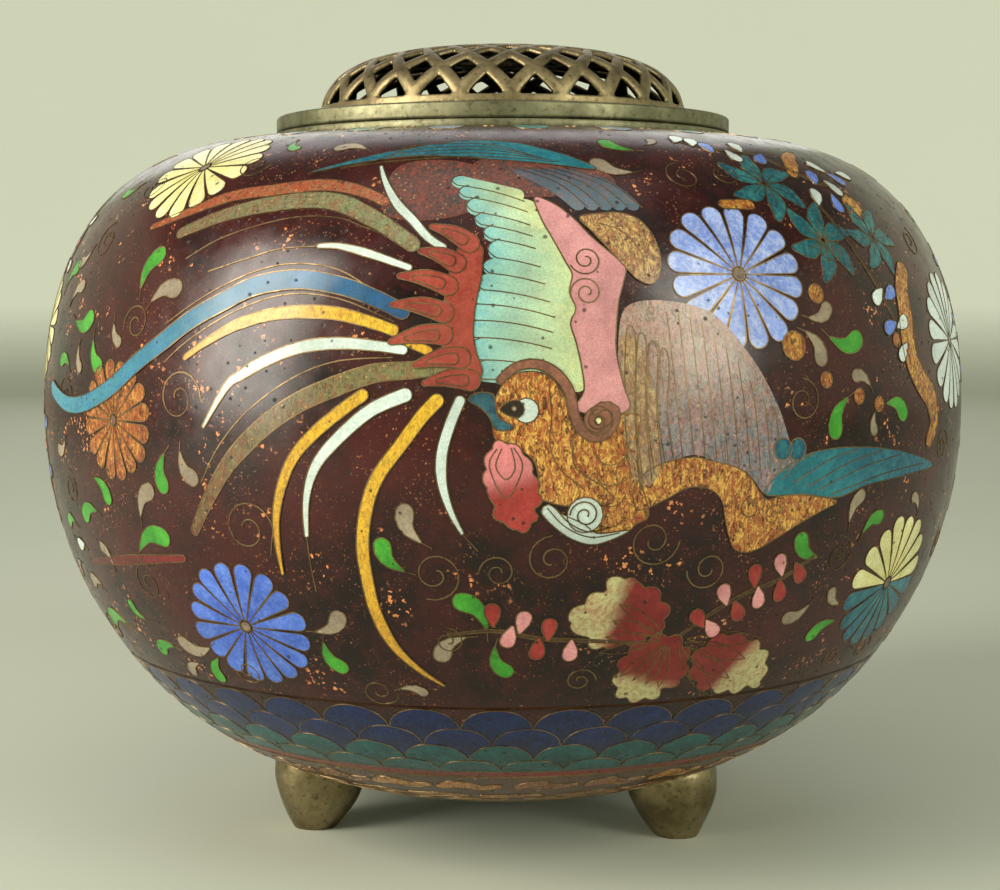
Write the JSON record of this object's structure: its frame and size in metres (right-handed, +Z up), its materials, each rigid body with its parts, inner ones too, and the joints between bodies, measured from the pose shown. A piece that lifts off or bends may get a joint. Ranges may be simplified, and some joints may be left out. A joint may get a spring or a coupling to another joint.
{
  "type": "lidded vase",
  "caption": "Round enamelled vessel on three bulb feet, with a flanged metal lid pierced as a lattice that lifts off the mouth.",
  "frame": {"origin": "on the table plane, on the axis of the body", "axes": "+Z up along the body's axis of revolution; -Y is the decorated front; +X is to the right of it"},
  "size_m": [0.12, 0.12, 0.1014],
  "materials": {
    "copper": "dull copper, seen only inside the walls",
    "lining_enamel": "glossy counter enamel",
    "base_enamel": "glossy dark counter enamel",
    "ground_enamel": "polished dark red aventurine enamel with copper flecks",
    "scale_enamel": "polished blue and teal enamel",
    "red_enamel": "polished red enamel",
    "ochre_enamel": "polished mottled ochre enamel",
    "motif_enamel": "polished enamel in many colours",
    "wire": "fine dull copper wire polished flush",
    "lid_metal": "aged greenish brass, worn bright on the lattice",
    "foot_metal": "dark aged bronze"
  },
  "bodies": {
    "vessel": {"copper_body": "copper", "enamel_lining": "lining_enamel", "base_enamel": "base_enamel", "scroll_band": "ochre_enamel", "red_line": "red_enamel", "lower_scales": "scale_enamel", "upper_scales": "scale_enamel", "main_field": "ground_enamel", "neck_border": "motif_enamel", "base_wire": "wire", "scroll_wire": "wire", "red_wire": "wire", "field_wire": "wire", "neck_wire": "wire", "mouth_rim": "lid_metal", "front_left_foot": "foot_metal", "front_right_foot": "foot_metal", "rear_foot": "foot_metal"},
    "lid": {"lid_flange": "lid_metal", "lid_collar": "lid_metal", "lid_dome": "lid_metal"}
  },
  "joints": [
    {"name": "lid_lift", "type": "slide", "parent": "vessel", "child": "lid", "axis": [0, 0, 1], "range_m": [0, 0.03]}
  ]
}
